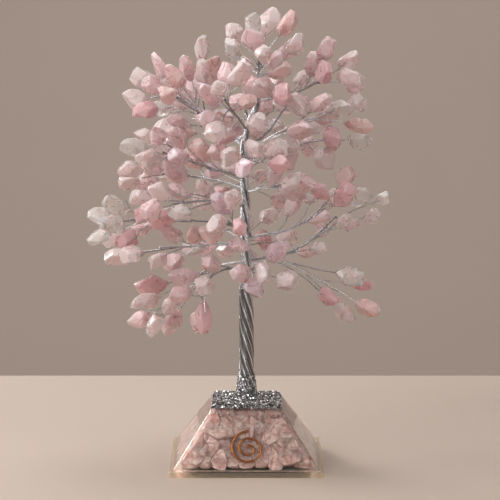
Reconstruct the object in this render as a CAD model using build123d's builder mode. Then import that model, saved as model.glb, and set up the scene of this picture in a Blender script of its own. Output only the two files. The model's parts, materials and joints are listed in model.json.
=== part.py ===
from build123d import *

import os
import random
from math import cos, sin, tau

import numpy as np

# A gemstone tree: drilled rose-quartz stones threaded on twisted wire sprays, gathered into a
# wire trunk that is glued into a cast-resin pyramid filled with more stones.
# Millimetres, +Z up, origin at the middle of the underside. The photograph looks along +Y.

# Base: a clear slab, a clear pyramid frustum on it, and a layer of silver glitter on top
slab_width = 85.0
slab_height = 4.0
slab_edge_radius = 0.6
pyramid_foot_width = 81.0
pyramid_top_width = 36.0
pyramid_height = 30.5
pyramid_edge_radius = 0.8
glitter_thickness = 2.0
collar_height = 2.0
collar_spread = 1.0
socket_depth = 12.0
base_height = slab_height + pyramid_height + glitter_thickness

# Stones cast into the resin, stacked so that each one lies over the gap between four others
fill_columns = 9
fill_layers = 5
fill_stone_reach = 3.6
fill_size_shares = (0.88, 1.0)
fill_width_share = 0.88
fill_thickness_share = 0.8
fill_margin = 1.2
cast_gap = 0.03

# Copper spiral, cast into the resin just behind its front face
copper_radius = 0.55
spiral_pitch = 3.9
spiral_start_radius = 1.2
spiral_half_turns = 5
spiral_depth = 1.0
spiral_across = 0.9
spiral_height_share = 0.37

# Trunk: a core with strands laid round it, which spread at their foot, and a tapering leader above it
trunk_core_radius = 2.9
strand_radius = 0.58
strand_count = 17
strand_lay = 66.0
strand_spans = 8
trunk_flare = 1.6
flare_height = 18.0
core_flare_share = 0.85
leader_tip_radius = 1.5
wire_gap = 0.12
root_gap = 0.25
bend_gap = 0.45

# Sprays: stems of gathered wire, twigs of one twisted pair, and a wire eye through each stone
stem_radius = 0.85
twig_radius = 0.42
eye_wire_radius = 0.25
eye_clearance = 0.6
eye_foot_half = 0.32
knot_radius = 0.65
eye_bend = 0.7
throat_gap = 1.4
twig_bow_share = 0.10
stem_bend_share = 0.42
fork_shares = (0.3, 0.97)

# Stones of the crown, threaded through a drilled hole
stone_length = 12.2
stone_width = 9.8
stone_thickness = 7.4
stone_spread_share = 0.16
hole_radius = 0.45
hole_set_share = 0.16
stone_spacing = 14.2
stone_wire_spacing = 7.6
swing_spacing = 3.6
turned_face_share = 0.5
tilted_face_share = 0.4

# Rings of corners on a stone, from its near end to its far end. Each one: its level as a share of the stone's
# length, the number of corners, and the shares of the half width that they reach
crown_ring_shares = [(-0.5, 3, 0.2, 0.2), (-0.12, 5, 0.92, 1.0), (0.2, 5, 0.85, 1.0), (0.5, 4, 0.45, 0.7)]
cast_ring_shares = [(-0.5, 3, 0.3, 0.5), (0.0, 5, 0.85, 1.0), (0.5, 3, 0.4, 0.6)]
ring_lift_share = 0.06
corner_shift_share = 0.22

# The crown's size, and where the photograph was taken from
crown_width = 163.0
crown_half_depth = 62.0
tree_rise = 213.0
view_distance = 1400.0
view_height = 335.0

# Where the photograph shows these, in pixels
TRUNK_COLUMN = 246.5
FOOT_ROW = 397
SPLIT_ROW = 288
CROWN_COLUMNS = 292
TREE_ROWS = 375
TIP_ROW = 86
LEADER_PIXELS = [(246, SPLIT_ROW), (246, 250), (246, 205), (245, 165), (244, 142), (251, 121), (257, 109),
                 (258, TIP_ROW)]

# Each spray: the row where its stem leaves the leader, the stem's places and the stones' places.
# A place is a column and a row in the photograph, and a share of the crown's half depth, front to back.
SPRAYS = {
    "top": (TIP_ROW, [(260, 62, -0.04)], [
        (237, 38, 0.06), (235, 52, -0.12), (252, 29, 0.0), (270, 28, 0.12), (284, 32, 0.02),
        (290, 47, -0.08), (286, 57, 0.2), (254, 45, -0.22), (262, 56, -0.3), (275, 64, -0.12),
        (281, 70, 0.22), (246, 69, 0.14)]),
    "upper_left": (142, [(215, 124, 0.06), (188, 104, 0.08), (166, 92, 0.04)], [
        (161, 72, 0.05), (145, 81, 0.12), (155, 88, -0.1), (138, 100, 0.04), (149, 108, -0.12),
        (168, 82, 0.24), (175, 83, -0.14), (172, 96, -0.26), (180, 98, 0.28)]),
    "upper_left_back": (146, [(218, 130, 0.26), (195, 112, 0.42), (197, 88, 0.42)], [
        (202, 55, 0.3), (187, 71, 0.36), (203, 74, 0.24), (209, 73, 0.46), (196, 90, 0.6), (169, 112, 0.4),
        (167, 127, 0.55), (179, 122, 0.3), (186, 135, 0.46), (207, 118, 0.62), (213, 98, 0.5)]),
    "upper_front": (130, [(234, 114, -0.3), (224, 100, -0.5)], [
        (227, 79, -0.4), (237, 80, -0.55), (222, 90, -0.65), (215, 101, -0.42), (207, 96, -0.28),
        (246, 104, -0.55), (211, 120, -0.5), (216, 131, -0.62), (226, 137, -0.45)]),
    "left": (178, [(225, 172, -0.02), (195, 163, -0.1), (163, 152, -0.08)], [
        (135, 146, -0.05), (148, 139, 0.1), (160, 142, -0.2), (167, 149, 0.12), (150, 156, -0.2),
        (134, 168, -0.02), (178, 142, -0.26), (180, 155, -0.36), (200, 150, -0.24)]),
    "left_back": (188, [(222, 181, 0.22), (190, 176, 0.38), (162, 173, 0.42)], [
        (133, 180, 0.34), (147, 180, 0.52), (154, 168, 0.3), (160, 175, 0.6), (178, 172, 0.22),
        (203, 184, 0.34), (195, 158, 0.52)]),
    "left_front": (206, [(222, 199, -0.24), (195, 201, -0.36), (172, 204, -0.38)], [
        (144, 199, -0.28), (163, 193, -0.48), (181, 194, -0.32), (154, 208, -0.56), (143, 214, -0.2),
        (183, 211, -0.58), (165, 220, -0.4)]),
    "far_left": (224, [(205, 220, 0.08), (172, 221, 0.12), (132, 219, 0.08)], [
        (118, 206, 0.04), (103, 217, 0.12), (114, 221, -0.1), (104, 232, 0.0), (113, 234, 0.22),
        (128, 238, 0.06), (144, 226, 0.28)]),
    "low_left": (246, [(222, 242, -0.12), (190, 246, -0.22), (160, 247, -0.22)], [
        (172, 233, -0.32), (122, 253, -0.16), (134, 254, -0.34), (155, 257, -0.34), (174, 265, -0.1),
        (195, 234, -0.46), (194, 247, 0.06)]),
    "hanging_left": (262, [(218, 264, 0.12), (192, 277, 0.16), (174, 300, 0.08)], [
        (151, 287, 0.1), (147, 300, -0.06), (143, 317, 0.12), (157, 320, -0.06), (175, 304, -0.14),
        (173, 319, 0.2)]),
    "hanging_front": (268, [(226, 267, -0.18), (208, 276, -0.3), (202, 297, -0.32)], [
        (213, 263, -0.38), (205, 284, -0.5), (183, 277, -0.2), (181, 290, -0.34), (203, 315, -0.28),
        (195, 318, -0.1)]),
    "front_left": (230, [(238, 226, -0.34), (228, 221, -0.62)], [
        (219, 224, -0.78), (211, 233, -0.62), (236, 225, -0.88), (234, 201, -0.8), (225, 208, -0.62),
        (240, 243, -0.66)]),
    "front": (170, [(243, 162, -0.34), (242, 153, -0.62)], [
        (231, 157, -0.78), (222, 152, -0.62), (244, 164, -0.92), (258, 149, -0.78), (274, 151, -0.62),
        (277, 163, -0.76), (258, 127, -0.68)]),
    "upper_right": (103, [(271, 100, -0.04), (288, 98, -0.06)], [
        (268, 86, -0.18), (283, 96, -0.26), (294, 102, -0.06), (303, 80, 0.34), (300, 111, -0.2),
        (277, 80, 0.3)]),
    "far_right_upper": (146, [(263, 138, 0.14), (284, 110, 0.18), (298, 93, 0.14), (324, 81, 0.06)], [
        (312, 67, 0.2), (324, 55, 0.04), (348, 64, 0.1), (329, 77, -0.1), (342, 80, -0.12),
        (352, 86, 0.2)]),
    "right_upper": (155, [(272, 136, -0.12), (300, 123, -0.18), (327, 114, -0.14)], [
        (320, 105, -0.28), (337, 109, -0.22), (354, 107, 0.04), (327, 118, 0.04), (357, 124, -0.06),
        (316, 126, 0.24), (300, 130, -0.34)]),
    "right": (169, [(275, 153, 0.12), (305, 143, 0.18), (334, 139, 0.12)], [
        (358, 142, 0.1), (324, 158, -0.02), (330, 140, -0.08), (291, 143, -0.1), (307, 147, 0.4),
        (288, 160, 0.34)]),
    "right_front": (190, [(262, 187, -0.28), (284, 183, -0.44)], [
        (277, 176, -0.54), (291, 179, -0.68), (302, 184, -0.52), (316, 191, -0.44), (290, 190, -0.3)]),
    "right_low": (236, [(282, 232, 0.02), (306, 221, 0.06), (332, 203, 0.04)], [
        (345, 180, -0.02), (343, 198, -0.16), (358, 197, 0.06), (330, 200, 0.2), (320, 217, 0.3),
        (300, 206, 0.3), (312, 196, 0.48)]),
    "far_right": (258, [(284, 254, -0.06), (308, 243, -0.08), (336, 216, -0.06)], [
        (318, 246, -0.16), (305, 251, 0.2), (341, 217, -0.2), (351, 223, 0.12), (369, 214, 0.1),
        (381, 199, 0.0), (322, 229, 0.14)]),
    "hanging_right": (264, [(284, 258, 0.14), (318, 278, 0.12), (337, 290, 0.06)], [
        (349, 274, 0.0), (362, 283, 0.14), (327, 295, -0.06), (344, 312, 0.1), (367, 307, 0.0)]),
    "foot": (274, [(253, 268, -0.3), (264, 263, -0.5)], [
        (243, 272, -0.68), (262, 271, -0.84), (286, 279, -0.5), (253, 285, -0.62), (276, 252, -0.5)]),
    "back_upper": (136, [(249, 122, 0.3), (246, 112, 0.62)], [
        (240, 105, 0.8), (225, 118, 0.72), (262, 108, 0.76), (275, 125, 0.62), (250, 90, 0.62),
        (235, 135, 0.88), (258, 132, 0.9), (282, 108, 0.56)]),
    "back": (196, [(247, 186, 0.34), (244, 174, 0.66)], [
        (232, 165, 0.94), (258, 176, 0.96), (245, 150, 0.86), (214, 172, 0.76), (276, 166, 0.76),
        (222, 192, 0.9), (278, 201, 0.78), (206, 198, 0.6)]),
    "back_low": (250, [(245, 243, 0.3), (240, 236, 0.62)], [
        (227, 249, 0.82), (218, 225, 0.88), (245, 222, 1.0), (264, 238, 0.84), (269, 215, 0.86),
        (205, 246, 0.62), (250, 256, 0.7), (284, 240, 0.6)]),
}

# Sprays that stand clear of the crown and bend by hand, with the stem place where each one bends:
# 0 is its root on the leader
BENDING = {"top": 0, "far_left": 2, "hanging_left": 0, "far_right_upper": 3, "hanging_right": 0}

STANDING = (Align.CENTER, Align.CENTER, Align.MIN)
SEED = 11
SPIRAL_SAMPLES = 301
SETTLE_ROUNDS = 160
SETTLE_SHARES = np.array([0.09, 0.3, 0.09])
TWIG_SHARES = np.array([0.2, 0.4, 0.6])


def place(column, row, depth_share=0.0):
    """The point that the photograph shows at this column and row, at a share of the crown's half depth."""
    depth = depth_share * crown_half_depth
    across = (column - TRUNK_COLUMN) * crown_width / CROWN_COLUMNS
    height = base_height + (FOOT_ROW - row) * tree_rise / TREE_ROWS
    further = depth / view_distance
    return np.array([across * (1 + further), depth, height + (height - view_height) * further])


def unit(vector):
    """The vector at length 1."""
    return np.asarray(vector) / np.linalg.norm(vector)


def square_part(vector, along):
    """The part of a vector that is square to a unit direction, at length 1."""
    return unit(vector - np.dot(vector, along) * along)


leader_axis = [place(column, row) for column, row in LEADER_PIXELS]
trunk_top = leader_axis[0][2]


def leader_at(row):
    """A point of the leader's axis at a row of the photograph, and the leader's radius there."""
    height = place(TRUNK_COLUMN, row)[2]
    heights = [point[2] for point in leader_axis]
    across = np.interp(height, heights, [point[0] for point in leader_axis])
    taper = (height - heights[0]) / (heights[-1] - heights[0])
    radius = trunk_core_radius + taper * (leader_tip_radius - trunk_core_radius)
    return np.array([across, 0.0, height]), radius


def stem_points(name):
    """A spray's stem, from just clear of the leader to its tip."""
    root_row, stem, _ = SPRAYS[name]
    axis, radius = leader_at(root_row)
    spots = [place(*spot) for spot in stem]
    way = unit(spots[0] - axis)
    clear = root_gap if BENDING.get(name, 1) else bend_gap
    if root_row == TIP_ROW:
        return [axis + way * clear, *spots]
    level = np.hypot(way[0], way[1])
    return [axis + way * (radius + clear + stem_radius * abs(way[2])) / level, *spots]


def bend_radii(points):
    """A bend radius for each corner of a run of points, from the shorter of the two runs that meet there."""
    radii = []
    for before, corner, after in zip(points, points[1:], points[2:]):
        turn = np.arccos(np.clip(np.dot(unit(corner - before), unit(after - corner)), -1, 1))
        shorter = min(np.linalg.norm(corner - before), np.linalg.norm(after - corner))
        radii.append(stem_bend_share * shorter / np.tan(turn / 2))
    return radii


def wire_path(points):
    """The line of a wire through a run of points, with its corners bent."""
    with BuildLine() as path:
        if len(points) == 2:
            Line(tuple(points[0]), tuple(points[1]))
        else:
            FilletPolyline(*[tuple(point) for point in points], radius=bend_radii(points))
    return path.wire()


def moving_stem(name):
    """The stretch of a spray's stem that carries its twigs, beyond the place where it bends."""
    return wire_path(stem_points(name)[BENDING.get(name, 0):])


def limb(name):
    """The fixed stretch of a bending spray's stem, between the leader and the place where it bends."""
    stem = stem_points(name)
    bend = BENDING[name]
    return wire_path([*stem[:bend], stem[bend] + unit(stem[bend - 1] - stem[bend]) * bend_gap])


def forks_of(name):
    """Where each twig of a spray leaves the stem, and the stem's direction there: evenly along its outer
    stretch, in the order of the stones."""
    stem = moving_stem(name)
    first, last = np.array(tuple(stem @ 0)), np.array(tuple(stem @ 1))
    reaches = [np.dot(place(*spot) - first, last - first) for spot in SPRAYS[name][2]]
    forks = []
    for rank in np.argsort(np.argsort(reaches)):
        share = np.interp(rank, [0, len(reaches) - 1], fork_shares)
        forks.append((np.array(tuple(stem @ share)), np.array(tuple(stem % share))))
    return forks


def settle():
    """Stone centres and twig forks of every spray, with the stones eased apart, mostly in depth, until each
    one is clear of the other stones, the stems, the leader and the other twigs."""
    names = [name for name in SPRAYS for _ in SPRAYS[name][2]]
    spots = np.array([place(*spot) for name in SPRAYS for spot in SPRAYS[name][2]])
    forks = [fork for name in SPRAYS for fork in forks_of(name)]
    roots = np.array([point for point, _ in forks])
    apart = np.array([[a != b and (a in BENDING or b in BENDING) for a in names] for b in names])
    room = stone_spacing + swing_spacing * apart
    lines = [*map(moving_stem, SPRAYS), *(limb(name) for name, bend in BENDING.items() if bend)]
    stems = [tuple(line @ share) for line in lines
             for share in np.linspace(0, 1, 2 + int(2 * line.length / stone_wire_spacing))]
    trunk = [leader_at(row)[0] for row in range(TIP_ROW, SPLIT_ROW, 4)]
    fixed = np.array([*stems, *trunk])
    fixed_room = np.array([stone_wire_spacing + stem_radius] * len(stems)
                          + [stone_wire_spacing + trunk_core_radius] * len(trunk))
    others = 1 - np.eye(len(spots))
    least_twig = stone_length * (1 + stone_spread_share) / 2 + 2 * throat_gap + stem_radius + twig_radius
    for _ in range(SETTLE_ROUNDS):
        push = np.zeros_like(spots)
        for centres, needed, mask in [
            (spots[None], room, others),
            (fixed[None], fixed_room[None], np.ones((1, len(fixed)))),
            (roots[None], least_twig, np.eye(len(spots))),
            *((twig_points[None], stone_wire_spacing, others)
              for share in TWIG_SHARES for twig_points in [roots + (spots - roots) * share]),
        ]:
            gap = spots[:, None] - centres
            distance = np.linalg.norm(gap, axis=2) + 1e-9
            short = np.clip(needed - distance, 0, None) * mask
            push += (gap * (short / distance)[..., None]).sum(axis=1)
        spots = spots + push * SETTLE_SHARES
    return names, spots, forks


def stone_points(rng, ring_shares, length, width, thickness):
    """Corners of a chip of stone about its centre, from its rings. X runs along it, Y along its hole if it is
    drilled, and Z through it."""
    points = []
    for level, count, least, most in ring_shares:
        turn = rng.uniform(0, tau)
        at_end = abs(level) == max(abs(ring[0]) for ring in ring_shares)
        for index in range(count):
            angle = turn + tau * (index + rng.uniform(-corner_shift_share, corner_shift_share)) / count
            reach = rng.uniform(least, most)
            lift = 0 if at_end else rng.uniform(-ring_lift_share, ring_lift_share)
            across, through = reach * cos(angle) * width / 2, reach * sin(angle) * thickness / 2
            points.append(((level + lift) * length, across, through))
    return points


def stone_frame(rng, centre, fork):
    """A plane at a stone's centre: X away from its fork, Y along its hole, Z out of its broad face."""
    ahead = unit(centre - fork)
    turn = rng.uniform(-turned_face_share, turned_face_share)
    outward = np.array([centre[0], centre[1], 0.0]) + turn * np.array([-centre[1], centre[0], 0.0])
    tilt = rng.uniform(-tilted_face_share, tilted_face_share)
    face = square_part(unit(outward) + np.array([0.0, 0.0, tilt]), ahead)
    return Plane(origin=tuple(centre), x_dir=tuple(ahead), z_dir=tuple(face))


def tube(path, radius):
    """A round wire along a path."""
    with BuildPart() as wire:
        with BuildSketch(Plane(origin=path @ 0, z_dir=path % 0)):
            Circle(radius)
        sweep(path=path)
    return wire.part


def twig(fork, stem_way, frame, length, width):
    """One twisted pair of wire from its stem to a stone, bowed, and opened into an eye through its hole."""
    throat = np.array(tuple(frame.from_local_coords((-length / 2 - throat_gap, 0, 0))))
    side = square_part(throat - fork, stem_way)
    start = fork + side * (stem_radius + twig_radius + wire_gap)
    chord = throat - start
    bow = (stem_way - np.dot(stem_way, unit(chord)) * unit(chord)) * np.linalg.norm(chord) * twig_bow_share
    hole_level = -hole_set_share * length
    eye_half = width / 2 + eye_clearance
    throat_level = -length / 2 - throat_gap
    eye = [frame.from_local_coords(spot) for spot in [
        (throat_level, eye_foot_half, 0), (hole_level, eye_half, 0),
        (hole_level, -eye_half, 0), (throat_level, -eye_foot_half, 0)]]
    with BuildPart() as wire:
        with BuildLine() as stalk:
            ThreePointArc(tuple(start), tuple((start + throat) / 2 + bow), tuple(throat))
        with BuildSketch(Plane(origin=stalk.line @ 0, z_dir=stalk.line % 0)):
            Circle(twig_radius)
        sweep(path=stalk.line)
        with BuildLine() as loop:
            FilletPolyline(*eye, radius=eye_bend)
        with BuildSketch(Plane(origin=loop.line @ 0, z_dir=loop.line % 0)):
            Circle(eye_wire_radius)
        sweep(path=loop.line)
        with Locations(Plane(origin=tuple(throat), x_dir=frame.x_dir, z_dir=frame.z_dir)):
            Sphere(knot_radius)
    return wire.part


def crown_stone(rng, frame, length, width, thickness):
    """One chip of stone, drilled across for its wire."""
    with BuildPart() as stone:
        corners = stone_points(rng, crown_ring_shares, length, width, thickness)
        ConvexPolyhedron([frame.from_local_coords(corner) for corner in corners])
        hole_centre = frame.from_local_coords((-hole_set_share * length, 0, 0))
        with Locations(Plane(origin=hole_centre, x_dir=frame.x_dir, z_dir=frame.y_dir)):
            Cylinder(hole_radius, 2 * width, mode=Mode.SUBTRACT)
    return stone.part


def write(name, pieces):
    """Writes the separate solids of one node to its own file."""
    group = Compound(label=name, children=[solid for piece in pieces for solid in piece.solids()])
    export_step(group, f"parts/{name}.step")


def pyramid_width(height):
    """The pyramid's width at a height above the table."""
    share = (height - slab_height) / (pyramid_height + glitter_thickness)
    return pyramid_foot_width + share * (pyramid_top_width - pyramid_foot_width)


def trunk_spread(height):
    """How far the trunk's wires stand out at a height, beyond their place higher up, and its slope."""
    share = np.clip((base_height + flare_height - height) / flare_height, 0, 1)
    return trunk_flare * share ** 2 * (3 - 2 * share), -trunk_flare * 6 * share * (1 - share) / flare_height


def helix_arcs(radius, turn, bottom, top):
    """Draws a strand of the trunk, laid to the left, as tangent arcs in the current line."""

    def spot(height):
        spread, slope = trunk_spread(height)
        angle = turn - tau * (height - bottom) / strand_lay
        swing = -tau / strand_lay * (radius + spread)
        point = Vector((radius + spread) * cos(angle), (radius + spread) * sin(angle), height)
        way = Vector(slope * cos(angle) - swing * sin(angle), slope * sin(angle) + swing * cos(angle), 1)
        return point, way.normalized()

    heights = np.linspace(bottom, top, strand_spans + 1)
    for low, high in zip(heights, heights[1:]):
        (start, start_way), (end, end_way) = spot(low), spot(high)
        gap, ways = end - start, start_way + end_way
        square = 2 * (1 - start_way.dot(end_way))
        reach = (-gap.dot(ways) + (gap.dot(ways) ** 2 + square * gap.dot(gap)) ** 0.5) / square
        first_corner, last_corner = start + start_way * reach, end - end_way * reach
        middle = (first_corner + last_corner) * 0.5
        TangentArc(start, middle, tangent=start_way)
        TangentArc(middle, end, tangent=last_corner - first_corner)


os.makedirs("parts", exist_ok=True)

# Slab: the clear bottom pour
with BuildPart() as slab:
    with BuildSketch():
        Rectangle(slab_width, slab_width)
    extrude(amount=slab_height)
    fillet(slab.edges().filter_by(Axis.Z), slab_edge_radius)
slab.part.label = "base_slab"
export_step(slab.part, "parts/base_slab.step")

# Copper spiral: half circles that grow by half the pitch each, just behind the front face
face_run = (pyramid_foot_width - pyramid_top_width) / 2
face_rise = pyramid_height + glitter_thickness
face_out = unit([0.0, -face_rise, face_run])
spiral_height = slab_height + spiral_height_share * face_rise
spiral_centre = np.array([spiral_across, -pyramid_width(spiral_height) / 2, spiral_height])
spiral_centre = spiral_centre - face_out * (spiral_depth + copper_radius)
spiral_plane = Plane(origin=tuple(spiral_centre), x_dir=(1, 0, 0), z_dir=tuple(face_out))
with BuildLine(spiral_plane) as spiral_path:
    reach, middle, turn = spiral_start_radius, 0.0, -1
    for _ in range(spiral_half_turns):
        CenterArc((0, middle), reach, turn * 90, -180)
        reach = reach + spiral_pitch / 2
        middle = middle + turn * spiral_pitch / 2
        turn = -turn
spiral_wire = spiral_path.wire()
sample_shares = np.linspace(0, 1, SPIRAL_SAMPLES)
samples = np.array([tuple(spiral_wire @ share) for share in sample_shares])
along = np.abs(np.subtract.outer(sample_shares, sample_shares)) * spiral_wire.length
self_gap = np.linalg.norm(samples[:, None] - samples, axis=2)[along > spiral_pitch].min() - 2 * copper_radius
print("copper spiral: least gap to itself", round(self_gap, 2), "mm")
copper = tube(spiral_wire, copper_radius)
copper.label = "copper_spiral"
export_step(copper, "parts/copper_spiral.step")

# Stones cast into the resin
socket_radius = trunk_core_radius + 2 * strand_radius + trunk_flare + 2 * wire_gap
resin_top = slab_height + pyramid_height
socket_floor = resin_top - socket_depth
fill_rng = random.Random(SEED)
fill_stones, fill_rooms = [], []
first_layer = slab_height + fill_stone_reach + wire_gap
last_layer = resin_top - fill_stone_reach - wire_gap
for layer, layer_height in enumerate(np.linspace(first_layer, last_layer, fill_layers)):
    free_half = pyramid_width(layer_height + fill_stone_reach) / 2 - fill_margin - fill_stone_reach
    fill_places = np.linspace(-free_half, free_half, fill_columns - layer)
    for across in fill_places:
        for deep in fill_places:
            near_trunk = np.hypot(across, deep) < socket_radius + fill_stone_reach + wire_gap
            if near_trunk and layer_height + fill_stone_reach > socket_floor:
                continue
            turns = tuple(fill_rng.uniform(0, 360) for _ in range(3))
            frame = Plane(Location((across, deep, layer_height), turns))
            size = 2 * fill_stone_reach * fill_rng.uniform(*fill_size_shares)
            widths = (size * fill_width_share, size * fill_thickness_share)
            corners = [Vector(*corner) for corner in stone_points(fill_rng, cast_ring_shares, size, *widths)]
            roomy = [corner * (1 + 4 * cast_gap / size) for corner in corners]
            fill_stones.append(ConvexPolyhedron([frame.from_local_coords(corner) for corner in corners]))
            fill_rooms.append(ConvexPolyhedron([frame.from_local_coords(corner) for corner in roomy]))
write("base_stones", fill_stones)

# Resin pyramid, cast round the stones, the spiral and the foot of the trunk
with BuildPart() as resin:
    for height in (slab_height, resin_top):
        with BuildSketch(Plane.XY.offset(height)):
            Rectangle(pyramid_width(height), pyramid_width(height))
    loft()
    corner_edges = resin.edges().filter_by(Axis.X, reverse=True).filter_by(Axis.Y, reverse=True)
    fillet(corner_edges, pyramid_edge_radius)
    with Locations((0, 0, socket_floor)):
        Cylinder(socket_radius, socket_depth, align=STANDING, mode=Mode.SUBTRACT)
    add([*fill_rooms, tube(spiral_wire, copper_radius + cast_gap)], mode=Mode.SUBTRACT)
resin.part.label = "base_resin"
export_step(resin.part, "parts/base_resin.step")

# Glitter: a thin layer over the pyramid's top that climbs the trunk's foot
with BuildPart() as glitter:
    for height in (resin_top, base_height):
        with BuildSketch(Plane.XY.offset(height)):
            Rectangle(pyramid_width(height), pyramid_width(height))
    loft()
    with Locations((0, 0, base_height)):
        Cone(socket_radius + collar_spread, socket_radius + wire_gap, collar_height, align=STANDING)
    with Locations((0, 0, resin_top)):
        opening = glitter_thickness + collar_height + wire_gap
        Cylinder(socket_radius, opening, align=STANDING, mode=Mode.SUBTRACT)
glitter.part.label = "glitter_cap"
export_step(glitter.part, "parts/glitter_cap.step")

# Trunk: the core and its strands
core_foot_radius = trunk_core_radius + core_flare_share * trunk_flare
with BuildPart() as core:
    with BuildSketch(Plane.XZ):
        with BuildLine():
            flare_start = (trunk_core_radius, base_height + flare_height)
            flare_end = (core_foot_radius, base_height)
            Polyline(flare_end, (core_foot_radius, socket_floor), (0, socket_floor), (0, trunk_top),
                     (trunk_core_radius, trunk_top), flare_start)
            Spline(flare_start, flare_end, tangents=[(0, -1), (0, -1)])
        make_face()
    revolve(axis=Axis.Z)
strands = []
for index in range(strand_count):
    with BuildPart() as strand:
        with BuildLine() as path:
            helix_arcs(trunk_core_radius + wire_gap / 2 + strand_radius, tau * index / strand_count,
                       socket_floor + strand_radius, trunk_top - strand_radius)
        with BuildSketch(Plane(origin=path.line @ 0, z_dir=path.line % 0)):
            Circle(strand_radius)
        sweep(path=path.line)
    strands.append(strand.part)
write("trunk_core", [core.part])
write("trunk_strands", strands)

# Leader: the wires that are left above the trunk, thinning towards the top
with BuildPart() as leader:
    for column, row in LEADER_PIXELS:
        point, radius = leader_at(row)
        with BuildSketch(Plane(origin=tuple(point))):
            Circle(radius)
    loft(ruled=True)
leader.part.label = "leader"
export_step(leader.part, "parts/leader.step")

# Sprays
stone_names, stone_centres, stone_forks = settle()
for name in SPRAYS:
    wires, stones = [tube(moving_stem(name), stem_radius)], []
    for index, owner in enumerate(stone_names):
        if owner != name:
            continue
        rng = random.Random(SEED * 1000 + index)
        size = [dimension * rng.uniform(1 - stone_spread_share, 1 + stone_spread_share)
                for dimension in (stone_length, stone_width, stone_thickness)]
        fork, stem_way = stone_forks[index]
        frame = stone_frame(rng, stone_centres[index], fork)
        wires.append(twig(fork, stem_way, frame, size[0], size[1]))
        stones.append(crown_stone(rng, frame, *size))
    write(f"{name}_wires", wires)
    write(f"{name}_stones", stones)
write("limbs", [tube(limb(name), stem_radius) for name, bend in BENDING.items() if bend])
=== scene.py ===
"""Looks of a gemstone tree: rose-quartz chips on twisted silver wire, over a clear resin pyramid full of chips."""
import heapq
import json
import logging
from dataclasses import dataclass, field
from enum import Enum
from math import cos, pi, radians, sin, tau
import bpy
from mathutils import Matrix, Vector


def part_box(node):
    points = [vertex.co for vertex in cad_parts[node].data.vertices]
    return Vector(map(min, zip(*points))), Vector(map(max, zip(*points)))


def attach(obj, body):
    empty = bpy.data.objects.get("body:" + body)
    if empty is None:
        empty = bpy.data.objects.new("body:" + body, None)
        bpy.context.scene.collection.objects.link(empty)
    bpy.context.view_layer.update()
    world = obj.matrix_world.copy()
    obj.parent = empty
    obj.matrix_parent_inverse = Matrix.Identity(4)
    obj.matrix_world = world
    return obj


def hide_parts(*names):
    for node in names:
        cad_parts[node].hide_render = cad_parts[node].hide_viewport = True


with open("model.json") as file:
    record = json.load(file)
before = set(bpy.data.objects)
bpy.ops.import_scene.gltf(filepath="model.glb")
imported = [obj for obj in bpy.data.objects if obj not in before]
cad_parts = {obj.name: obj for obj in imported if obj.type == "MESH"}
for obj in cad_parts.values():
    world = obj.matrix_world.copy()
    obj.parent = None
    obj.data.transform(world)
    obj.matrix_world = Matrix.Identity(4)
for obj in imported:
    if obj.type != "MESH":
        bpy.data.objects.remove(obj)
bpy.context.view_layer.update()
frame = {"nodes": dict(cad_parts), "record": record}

from zlib import crc32

import bmesh
import bpy
import numpy as np
from mathutils import Matrix, Vector, noise

log = logging.getLogger("gem_tree")
MM = 0.001
TREE = "tree"
LAID_LEVELS = ("bundles", "strands")


def srgb(red: int, green: int, blue: int) -> tuple[float, float, float, float]:
    """A colour as a screen shows it, in the light units that the shaders work in.

    Args:
        red: Red, 0 to 255.
        green: Green, 0 to 255.
        blue: Blue, 0 to 255.

    Returns:
        Linear red, green, blue and full alpha.
    """
    shares = [value / 255 for value in (red, green, blue)]
    linear = [share / 12.92 if share <= 0.04045 else ((share + 0.055) / 1.055) ** 2.4 for share in shares]
    return (*linear, 1.0)


def unit(vector: np.ndarray) -> np.ndarray:
    """The vector at length 1."""
    return vector / np.linalg.norm(vector)


class Tone(Enum):
    """The tones of rose quartz in the tree: the letter that the tone lists use, the colour and how clear it is."""

    WHITE = ("W", srgb(246, 241, 237), 0.7)
    PALE = ("P", srgb(245, 229, 227), 0.52)
    PINK = ("K", srgb(242, 216, 217), 0.46)
    LILAC = ("L", srgb(240, 216, 223), 0.46)
    SALMON = ("S", srgb(241, 209, 205), 0.44)
    ROSE = ("R", srgb(236, 195, 198), 0.4)
    MILKY = ("M", srgb(180, 149, 144), 0.0)
    MAUVE = ("V", srgb(168, 135, 132), 0.0)
    DUSKY = ("D", srgb(172, 133, 128), 0.0)

    @property
    def tint(self) -> tuple[float, float, float, float]:
        """The tone's colour, with its clearness as alpha."""
        return (*self.value[1][:3], self.value[2])

    @classmethod
    def of(cls, letter: str) -> "Tone":
        """The tone of a letter."""
        return next(tone for tone in cls if tone.value[0] == letter)


# The tones of each spray's chips, in the order in which the chips sit in their node
SPRAY_TONES: dict[str, str] = {
    "top": "PWWPSPKKPKSK",
    "upper_left": "KPKPRPSSK",
    "upper_left_back": "PKPSKWPKSKL",
    "upper_front": "KPPKLSKPR",
    "left": "WPKKPPKLS",
    "left_back": "PKKPKPS",
    "left_front": "PPKKRWR",
    "far_left": "WWWWPRK",
    "low_left": "KPPPKSP",
    "hanging_left": "RPKPPK",
    "hanging_front": "KPKKRK",
    "front_left": "PSRPLK",
    "front": "PKLPPRP",
    "upper_right": "PRKPPK",
    "far_right_upper": "KKPRPK",
    "right_upper": "KWPKSPK",
    "right": "WPRPKK",
    "right_front": "KPKRK",
    "right_low": "SRWPKKP",
    "far_right": "PSPKPWK",
    "hanging_right": "WRRPS",
    "foot": "KPPLL",
    "back_upper": "KPKPKLSP",
    "back": "PKKLPRKP",
    "back_low": "KPKRPKLP",
}
CAST_TONES = "MVMDVMMDMV"
# Sprays whose chips stay small because another spray swings close past them
SNUG_GROWTH: dict[str, float] = {"far_right": 1.15}


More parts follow.
